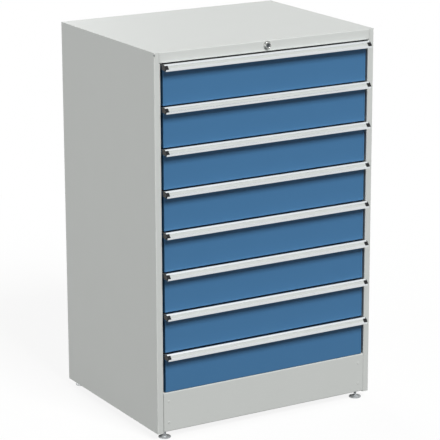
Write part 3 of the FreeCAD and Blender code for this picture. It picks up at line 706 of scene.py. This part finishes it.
screw = button_screw("screw", 3.8 * MM, 2.2 * MM, BACKWARD)
side_rivet = rivet("side_rivet", 3.5 * MM, 1.1 * MM, ACROSS)
wall_rivet = rivet("wall_rivet", 3.5 * MM, 1.1 * MM, BACKWARD)
slot_plate = obround_plate("slot_plate", 3 * MM, 14 * MM)
for number in DRAWERS:
    body = "drawer_%d" % number
    floor_z = bay_floor(number)
    repeat(body + "_front_screws", screw, (SCREW_COLUMNS, 1, 2),
           (centred(SCREW_COLUMNS, SCREW_APART), FRONT_WALL, floor_z + SCREW_IN_BAY),
           (SCREW_APART, 0, SCREW_ROWS_APART), rod_zinc, body)
    repeat(body + "_rail_rivets", side_rivet, (2, RAIL_RIVETS, 1),
           (-SIDE_WALL, RAIL_RIVET_START, floor_z + RAIL_IN_BAY),
           (2 * SIDE_WALL, RAIL_RIVET_APART, 0), rod_zinc, body)
    repeat(body + "_catch_rivets", wall_rivet, (2, 1, 1),
           (CATCH_RIVET_X, REAR_WALL, floor_z + CATCH_RIVET_IN_BAY),
           (CATCH_RIVET_APART, 0, 0), rod_zinc, body)
    # The slots are dark plates of painted shade.
    repeat(body + "_wall_slots", slot_plate, (SLOT_COLUMNS, 2, 2),
           (centred(SLOT_COLUMNS, SLOT_APART), FRONT_WALL, floor_z + SLOT_IN_BAY),
           (SLOT_APART, REAR_WALL - FRONT_WALL, SLOT_ROWS_APART), slot_shade, body)
discard(screw, side_rivet, wall_rivet, slot_plate)
print("each drawer:", 2 * SCREW_COLUMNS, "screws,", 2 * RAIL_RIVETS + 2, "rivets,",
      4 * SLOT_COLUMNS, "slots")

# %% [markdown]
# Telescopic runners roll on small steel balls. Each middle rail has a race above and below on
# its outside, against the cabinet rail, and another pair on its inside, against the drawer
# rail. When the drawer is out, the outer race is held by the rear half of the middle rail and
# the inner race by its front half, so that is where the balls are.

# %% Balls in the runners
RAIL_START = FRONT + 24 * MM
BALL_PITCH = 11 * MM
BALLS_IN_ROW = 23
RACES = {
    "outer": {"radius": 1.2 * MM, "out": 353.2 * MM, "up": 20.25 * MM, "start": 280 * MM},
    "inner": {"radius": 1.45 * MM, "out": 351 * MM, "up": 16 * MM, "start": 12 * MM},
}


def ball_shape(name, radius):
    """One round ball."""
    work = bmesh.new()
    bmesh.ops.create_icosphere(work, subdivisions=2, radius=radius)
    for face in work.faces:
        face.smooth = True
    return from_bmesh(name, work)


for race, size in RACES.items():
    ball = ball_shape("ball", size["radius"])
    for number in DRAWERS:
        rail_z = bay_floor(number) + RAIL_IN_BAY
        repeat("drawer_%d_%s_balls" % (number, race), ball, (2, BALLS_IN_ROW, 2),
               (-size["out"], RAIL_START + size["start"], rail_z - size["up"]),
               (2 * size["out"], BALL_PITCH, 2 * size["up"]),
               ball_steel, "middle_rails_%d" % number)
    discard(ball)
print("balls:", len(RACES) * 4 * BALLS_IN_ROW * len(DRAWERS))

# %% [markdown]
# Each cabinet rail hangs in the slots of two uprights by a pair of hooks. A hook rises from
# the rail, passes through the slot and turns down behind the sheet, which three small blocks
# describe well enough. The left side is the right side mirrored.

# %% Hooks of the cabinet rails
HOOK_HALF = 2.5 * MM
HOOK_BLOCKS = (((360.0, 22.9), (361.4, 40.0)), ((361.4, 34.0), (364.8, 40.0)),
               ((363.3, 31.5), (364.8, 34.0)))
HOOK_START = FRONT + 44 * MM
HOOK_APART = 469 * MM


def hook_shape(name, side):
    """A hook of blocks given by (x, z) corners in millimetres from the rail's middle height."""
    work = bmesh.new()
    for (x0, z0), (x1, z1) in HOOK_BLOCKS:
        middle = Vector((side * (x0 + x1) / 2 * MM, 0, (z0 + z1) / 2 * MM))
        size = Matrix.Diagonal(((x1 - x0) * MM, 2 * HOOK_HALF, (z1 - z0) * MM, 1))
        bmesh.ops.create_cube(work, size=1.0, matrix=Matrix.Translation(middle) @ size)
    return from_bmesh(name, work)


for side, word in ((-1, "left"), (1, "right")):
    hook = hook_shape("hook", side)
    repeat("rail_hooks_" + word, hook, (1, 2, len(DRAWERS)), (0, HOOK_START, LOWEST_RAIL),
           (0, HOOK_APART, PITCH), runner_zinc, "cabinet")
    discard(hook)
print("hooks:", 2 * 2 * len(DRAWERS))

# %% [markdown]
# Outside, four low screws hold the plinth, painted over with it. Behind, two rivets hold the
# guides of the locking bar, a row of rivets joins the back sheet to the bottom sheet, and
# there are two rows of vents and a pair of holes for fixing the cabinet to a wall. The vents
# and holes are thin plates whose dark is painted shade.

# %% Fixings and vents
BACK_SHEET = BACK - 1.5 * MM
PLINTH_SCREW_X = 341 * MM
PLINTH_SCREW_UP = BASE + 31 * MM
PLINTH_SCREWS_APART = 67 * MM
GUIDE_UP = BASE + 290 * MM
GUIDES_APART = 625 * MM
REAR_RIVETS = 7
REAR_RIVETS_APART = 105 * MM
REAR_RIVET_UP = BASE + 14 * MM
WALL_HOLE_X = 250 * MM
WALL_HOLE_UP = TOP - 60 * MM
VENTS = 15
VENTS_APART = 14 * MM
LOW_VENTS_UP = BASE + 90 * MM
HIGH_VENTS_UP = TOP - 130 * MM

plinth_screw = button_screw("plinth_screw", 4.0 * MM, 0.8 * MM, FORWARD)
repeat("plinth_screws", plinth_screw, (2, 1, 2), (-PLINTH_SCREW_X, FRONT, PLINTH_SCREW_UP),
       (2 * PLINTH_SCREW_X, 0, PLINTH_SCREWS_APART), housing_paint, "cabinet")
guide_rivet = rivet("guide_rivet", 4.5 * MM, 1.0 * MM, BACKWARD)
repeat("guide_rivets", guide_rivet, (1, 1, 2), (0, BACK_SHEET, GUIDE_UP),
       (0, 0, GUIDES_APART), rod_zinc, "cabinet")
rear_rivet = rivet("rear_rivet", 3.5 * MM, 1.0 * MM, BACKWARD)
repeat("back_rivets", rear_rivet, (REAR_RIVETS, 1, 1),
       (centred(REAR_RIVETS, REAR_RIVETS_APART), BACK_SHEET, REAR_RIVET_UP),
       (REAR_RIVETS_APART, 0, 0), rod_zinc, "cabinet")
wall_hole = obround_plate("wall_hole", 9 * MM, 16 * MM)
repeat("wall_holes", wall_hole, (2, 1, 1), (-WALL_HOLE_X, BACK_SHEET, WALL_HOLE_UP),
       (2 * WALL_HOLE_X, 0, 0), slot_shade, "cabinet")
vent = obround_plate("vent", 4 * MM, 36 * MM)
repeat("back_vents", vent, (VENTS, 1, 2),
       (centred(VENTS, VENTS_APART), BACK_SHEET, LOW_VENTS_UP),
       (VENTS_APART, 0, HIGH_VENTS_UP - LOW_VENTS_UP), slot_shade, "cabinet")
discard(plinth_screw, guide_rivet, rear_rivet, wall_hole, vent)
print("fixings:", 4, "screws,", 2 + REAR_RIVETS, "rivets,", 2 * VENTS, "vents")

# %% [markdown]
# The lock's ring wears a thin nickel cover with a rounded rim, which catches the light on one
# side and lets it fall off on the other. Its profile runs once round: over the rim, down to
# the fascia and back inside, so the turned shape is closed without a disc in its middle.

# %% The lock's cover
LOCK_Z = (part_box("lock_plug")[0].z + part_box("lock_plug")[1].z) / 2
COVER_RINGS = ((6.4, 5.2), (6.6, 6.4), (7.4, 7.2), (8.6, 7.5), (9.8, 7.1), (10.6, 6.1),
               (10.9, 4.6), (10.9, 1.4), (12.4, 0.9), (12.6, 0.02), (10.7, 0.02), (10.7, 5.2))
cover = turned("lock_cover", [(radius * MM, height * MM, False) for radius, height in COVER_RINGS],
               FORWARD, open_middle=True)
cover.data.materials.append(lock_nickel)
cover.data.transform(Matrix.Translation((0, FRONT, LOCK_Z)))
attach(cover, "cabinet")
print("lock cover stands", max(height for radius, height in COVER_RINGS), "mm proud")

# %% [markdown]
# The stem of a levelling foot is an M8 screw. A thread is a small ridge wound round the stem,
# and that is what the next tree makes: a spiral with one turn for each pitch, and a triangle
# pulled along it.

# %% Threads of the feet
THREAD_PITCH = 1.25 * MM
THREAD_RIDGE = 0.45 * MM
TURN_STEPS = 24
STEM_RADIUS = 4 * MM
THREAD_START = 7.2 * MM
THREAD_END = BASE - 0.6 * MM
TURNS = (THREAD_END - THREAD_START) / THREAD_PITCH


def thread_tree():
    """A ridge wound round a stem of this Radius, so many Turns up from its Place."""
    tree, given = new_tree("wind a thread", {
        "Turns": "Float", "Pitch": "Float", "Radius": "Float", "Ridge": "Float",
        "Place": "Vector", "Material": "Material"})
    rise = add(tree, "ShaderNodeMath", {
        0: given["Turns"], 1: given["Pitch"]}, operation="MULTIPLY")
    spiral = add(tree, "GeometryNodeCurveSpiral", {
        "Resolution": TURN_STEPS, "Rotations": given["Turns"], "Start Radius": given["Radius"],
        "End Radius": given["Radius"], "Height": rise})
    triangle = add(tree, "GeometryNodeCurvePrimitiveCircle", {
        "Resolution": 3, "Radius": given["Ridge"]})
    wound = add(tree, "GeometryNodeCurveToMesh", {
        "Curve": spiral, "Profile Curve": triangle.outputs["Curve"], "Fill Caps": True})
    moved = add(tree, "GeometryNodeTransform", {
        "Geometry": wound, "Translation": given["Place"]})
    end_tree(tree, moved, given["Material"])
    return tree


THREAD = thread_tree()
for name in ("front_left", "front_right", "rear_left", "rear_right"):
    foot_low, foot_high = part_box("levelling_foot_" + name)
    middle = (foot_low + foot_high) / 2
    thread = run_tree("thread_" + name, THREAD, {
        "Turns": TURNS, "Pitch": THREAD_PITCH, "Radius": STEM_RADIUS, "Ridge": THREAD_RIDGE,
        "Place": Vector((middle.x, middle.y, THREAD_START)), "Material": rod_zinc})
    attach(thread, "foot_" + name)
print("threads of", round(TURNS, 1), "turns")

# %% [markdown]
# The floor is a plain pale plane. A studio's white sweep is lit until it vanishes, and here
# the camera sees it partly as pure white and partly as a lit surface, so the page stays white
# and the cabinet still stands in its own faint shadow. The light that the floor throws back
# up is held down, because a white page would brighten the cabinet from below.

# %% Floor
FLOOR_HALF = 40.0
FLOOR_SEEN = "#F4F4F2"
FLOOR_BOUNCE = "#5A5A59"
PAGE_NEAR = 0.88
FADE_START = 0.9
FADE_END = 2.6
WHITE = (1.0, 1.0, 1.0, 1.0)


def seen_directly(tree):
    """1 for rays from the camera, and for those that metal or glass sends on, otherwise 0."""
    path = add(tree, "ShaderNodeLightPath").outputs
    seen = add(tree, "ShaderNodeMath", {
        0: path["Is Camera Ray"], 1: path["Is Glossy Ray"]}, operation="MAXIMUM")
    return add(tree, "ShaderNodeMath", {
        0: seen, 1: path["Is Transmission Ray"]}, operation="MAXIMUM")


def make_floor():
    """The pale floor, part lit surface and part white page to the camera."""
    work = bmesh.new()
    bmesh.ops.create_grid(work, x_segments=1, y_segments=1, size=FLOOR_HALF)
    material, tree = new_material("pale studio floor")
    bounced = add(tree, "ShaderNodeLightPath").outputs["Is Diffuse Ray"]
    tone = add(tree, "ShaderNodeMix", {
        "Factor": bounced, "A": linear(FLOOR_SEEN), "B": linear(FLOOR_BOUNCE)},
        data_type="RGBA")
    lit = add(tree, "ShaderNodeBsdfDiffuse", {"Color": tone.outputs["Result"]})
    page = add(tree, "ShaderNodeEmission", {"Color": WHITE, "Strength": 1.0})
    place = add(tree, "ShaderNodeTexCoord").outputs["Object"]
    away = add(tree, "ShaderNodeVectorMath", {0: place}, operation="LENGTH")
    fade = add(tree, "ShaderNodeMapRange", {
        "Value": away.outputs["Value"], "From Min": FADE_START, "From Max": FADE_END,
        "To Min": PAGE_NEAR, "To Max": 1.0}, interpolation_type="SMOOTHSTEP")
    share = add(tree, "ShaderNodeMath", {
        0: seen_directly(tree), 1: fade.outputs["Result"]}, operation="MULTIPLY")
    both = add(tree, "ShaderNodeMixShader", {0: share, 1: lit, 2: page})
    add(tree, "ShaderNodeOutputMaterial", {"Surface": both})
    floor = from_bmesh("floor", work, material)
    return floor


print("floor made:", make_floor().name)

# %% [markdown]
# The world surrounds everything. Where the camera looks past the floor it is a white page at
# a strength of 1, and for all other rays it is only a little soft light from every side.

# %% World
AMBIENT = 0.07


def make_world():
    """Soft light from all round, and a white page where the camera looks past the floor."""
    world = bpy.data.worlds.new("studio")
    bpy.context.scene.world = world
    world.use_nodes = True
    tree = world.node_tree
    tree.nodes.clear()
    soft = add(tree, "ShaderNodeBackground", {"Color": WHITE, "Strength": AMBIENT})
    page = add(tree, "ShaderNodeBackground", {"Color": WHITE, "Strength": 1.0})
    both = add(tree, "ShaderNodeMixShader", {0: seen_directly(tree), 1: soft, 2: page})
    add(tree, "ShaderNodeOutputWorld", {"Surface": both})
    return world


print("world made:", make_world().name)

# %% [markdown]
# Catalogue photographs are lit with large soft boxes. A lamp's strength falls with the square
# of its distance, so the helper takes the share of a white card's brightness that the lamp
# should give, and works out the watts for a card that faces it at its distance. The rear lamp
# stays away from the side opposite the camera, where the top sheet would mirror it.

# %% Lamps
CENTRE = Vector((0, (FRONT + BACK) / 2, (BASE + TOP) / 2))


def softbox(name, direction, distance, size, share):
    """A square area lamp in this direction from the cabinet, adding this share of white."""
    lamp = bpy.data.lights.new(name, "AREA")
    lamp.size = size
    lamp.energy = share * math.pi ** 2 * distance ** 2
    away = Vector(direction).normalized()
    thing = place_in_scene(name, lamp)
    thing.location = CENTRE + away * distance
    thing.rotation_mode = "QUATERNION"
    thing.rotation_quaternion = away.to_track_quat("Z", "Y")


softbox("front bank", (0.08, -1.0, 0.97), 20.0, 7.0, 1.0)
softbox("left fill", (-1.0, -0.05, 0.05), 6.0, 3.0, 0.57)
softbox("rear fill", (0.1, 1.0, 0.3), 7.0, 3.0, 0.5)
softbox("right fill", (1.0, 0.1, 0.05), 6.0, 3.0, 0.45)

# %% [markdown]
# The camera stands where it stood for the picture. The cabinet's corners in that picture fix
# the direction, the distance and the focal length together: a long lens, from the left of the
# front and a little above.

# %% Camera
AZIMUTH = math.radians(-30.4854)
ELEVATION = math.radians(15.3617)
ROLL = math.radians(-0.1503)
WIDTH = 2 * HALF_WIDTH
DISTANCE = 8.9304 * WIDTH
AIM = Vector((0.0159 * WIDTH, FRONT + 0.39 * WIDTH, BASE + 0.7130 * WIDTH))
SENSOR = 36.0
FRAME_PIXELS = 440
FOCAL_PIXELS = 2166.997
NEAREST = 0.1
FARTHEST = 200.0


def make_camera():
    """A camera at the photograph's viewing angle."""
    optics = bpy.data.cameras.new("camera")
    optics.sensor_width = SENSOR
    optics.lens = FOCAL_PIXELS * SENSOR / FRAME_PIXELS
    optics.clip_start = NEAREST
    optics.clip_end = FARTHEST
    back = Vector((math.sin(AZIMUTH) * math.cos(ELEVATION),
                   -math.cos(AZIMUTH) * math.cos(ELEVATION), math.sin(ELEVATION)))
    right = Vector((0, 0, 1)).cross(back).normalized()
    up = back.cross(right)
    rolled_right = right * math.cos(ROLL) + up * math.sin(ROLL)
    rolled_up = up * math.cos(ROLL) - right * math.sin(ROLL)
    turn = Matrix((rolled_right, rolled_up, back)).transposed()
    thing = place_in_scene("camera", optics)
    thing.rotation_mode = "QUATERNION"
    thing.rotation_quaternion = turn.to_quaternion()
    thing.location = AIM + back * DISTANCE
    bpy.context.scene.camera = thing
    return thing


camera = make_camera()
bpy.context.scene.view_settings.view_transform = "Standard"
print("lens", round(camera.data.lens, 1), "mm at", round(DISTANCE, 2), "m")
